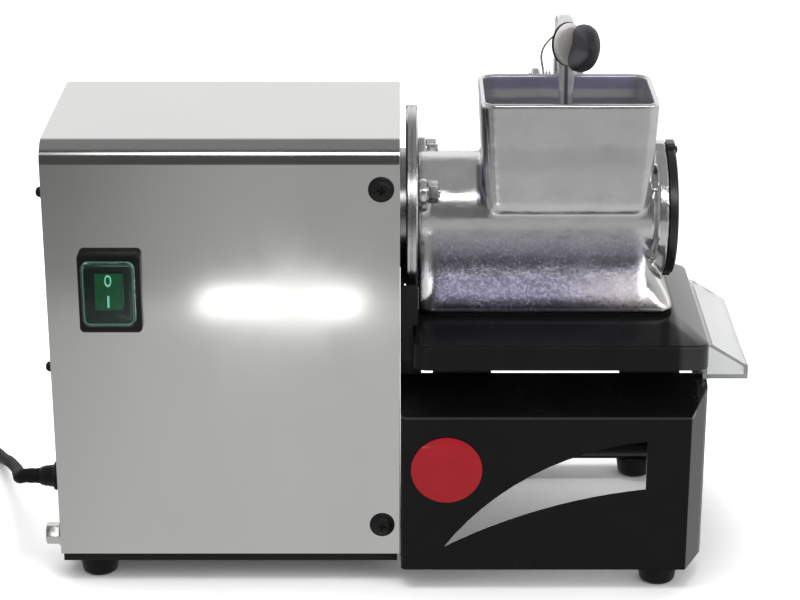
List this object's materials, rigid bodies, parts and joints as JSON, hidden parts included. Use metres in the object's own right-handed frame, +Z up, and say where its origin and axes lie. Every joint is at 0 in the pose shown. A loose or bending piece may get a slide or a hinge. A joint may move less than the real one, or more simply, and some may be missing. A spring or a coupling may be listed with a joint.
{
  "type": "electric grater",
  "caption": "Mains grater: motor in a stainless box drives a toothed drum in a cast body with a hopper, a lever-worked presser and a clear drawer below.",
  "frame": {"origin": "on the table under the middle of the machine, without its cord", "axes": "+X from the motor box towards the drum and the drawer's lip, +Y away from the switch's side, +Z up"},
  "size_m": [0.7105, 0.3239, 0.3726],
  "materials": {
    "stainless": "satin stainless sheet and polished steel",
    "cast_aluminium": "cast and polished",
    "machined_steel": "machined",
    "zinc": "zinc plated",
    "black_paint": "satin black",
    "black_gloss": "gloss black",
    "black_rubber": "matt",
    "black_plastic": "satin",
    "clear_plastic": "clear",
    "green_plastic": "translucent green",
    "red_enamel": "gloss",
    "copper": "enamelled winding",
    "nylon": "natural"
  },
  "bodies": {
    "machine": {"badge_disc": "red_enamel", "base_frame": "black_gloss", "base_pan": "black_paint", "cable_gland": "black_plastic", "cover_screw_high": "black_paint", "cover_screw_low": "black_paint", "drive_flange": "cast_aluminium", "drum_end_bush": "nylon", "earth_bolt": "zinc", "earth_washer": "zinc", "end_cap": "black_plastic", "flange_nut_front": "zinc", "flange_nut_rear": "zinc", "foot_front_left": "black_rubber", "foot_front_right": "black_rubber", "foot_rear_left": "black_rubber", "foot_rear_right": "black_rubber", "gearbox_case": "cast_aluminium", "gland_nut": "black_plastic", "grater_body": "cast_aluminium", "housing_end_plate": "black_paint", "lever_pin": "zinc", "lever_spring": "zinc", "motor_cover": "stainless", "motor_cradle": "machined_steel", "motor_end_shield": "cast_aluminium", "motor_frame": "cast_aluminium", "motor_stator": "machined_steel", "plate_block_front_left": "black_paint", "plate_block_front_right": "black_paint", "plate_block_rear_left": "black_paint", "plate_block_rear_right": "black_paint", "plug": "black_rubber", "power_cord": "black_rubber", "power_cord_coil": "black_rubber", "run_capacitor": "cast_aluminium", "shaft_bearing": "machined_steel", "skirt_seal": "black_rubber", "stator_winding_left": "copper", "stator_winding_right": "copper", "support_bracket": "black_paint", "switch_body": "black_plastic", "switch_boot": "clear_plastic", "switch_frame": "black_plastic", "table_plate": "black_gloss"},
    "drum": {"drum_gear": "machined_steel", "drive_shaft": "machined_steel", "drum_hub_left": "cast_aluminium", "drum_hub_right": "cast_aluminium", "grating_drum": "stainless"},
    "motor": {"motor_rotor": "machined_steel", "motor_pinion": "machined_steel", "cooling_fan": "black_plastic"},
    "lever": {"lever": "stainless", "presser": "cast_aluminium", "lever_grip": "black_plastic", "grip_face": "stainless", "grip_collar": "black_plastic"},
    "drawer": {"collecting_drawer": "clear_plastic"},
    "rocker": {"switch_rocker": "green_plastic"}
  },
  "joints": [
    {"name": "drum_spin", "type": "hinge", "parent": "machine", "child": "drum", "pos_m": [0.00665, -0.009, 0.2413], "axis": [1, 0, 0], "continuous": true},
    {"name": "motor_spin", "type": "hinge", "parent": "machine", "child": "motor", "pos_m": [0.00665, -0.009, 0.1693], "axis": [1, 0, 0], "continuous": true},
    {"name": "lever_swing", "type": "hinge", "parent": "machine", "child": "lever", "pos_m": [0.11665, 0.036, 0.318], "axis": [-1, 0, 0], "range_deg": [0, 100]},
    {"name": "drawer_slide", "type": "slide", "parent": "machine", "child": "drawer", "axis": [1, 0, 0], "range_m": [0, 0.16]},
    {"name": "switch_rock", "type": "hinge", "parent": "machine", "child": "rocker", "pos_m": [-0.18235, -0.0815, 0.2106], "axis": [1, 0, 0], "range_deg": [0, 14]}
  ],
  "couplings": [
    {"joint": "motor_spin", "follows": "drum_spin", "ratio": -4.1429}
  ]
}
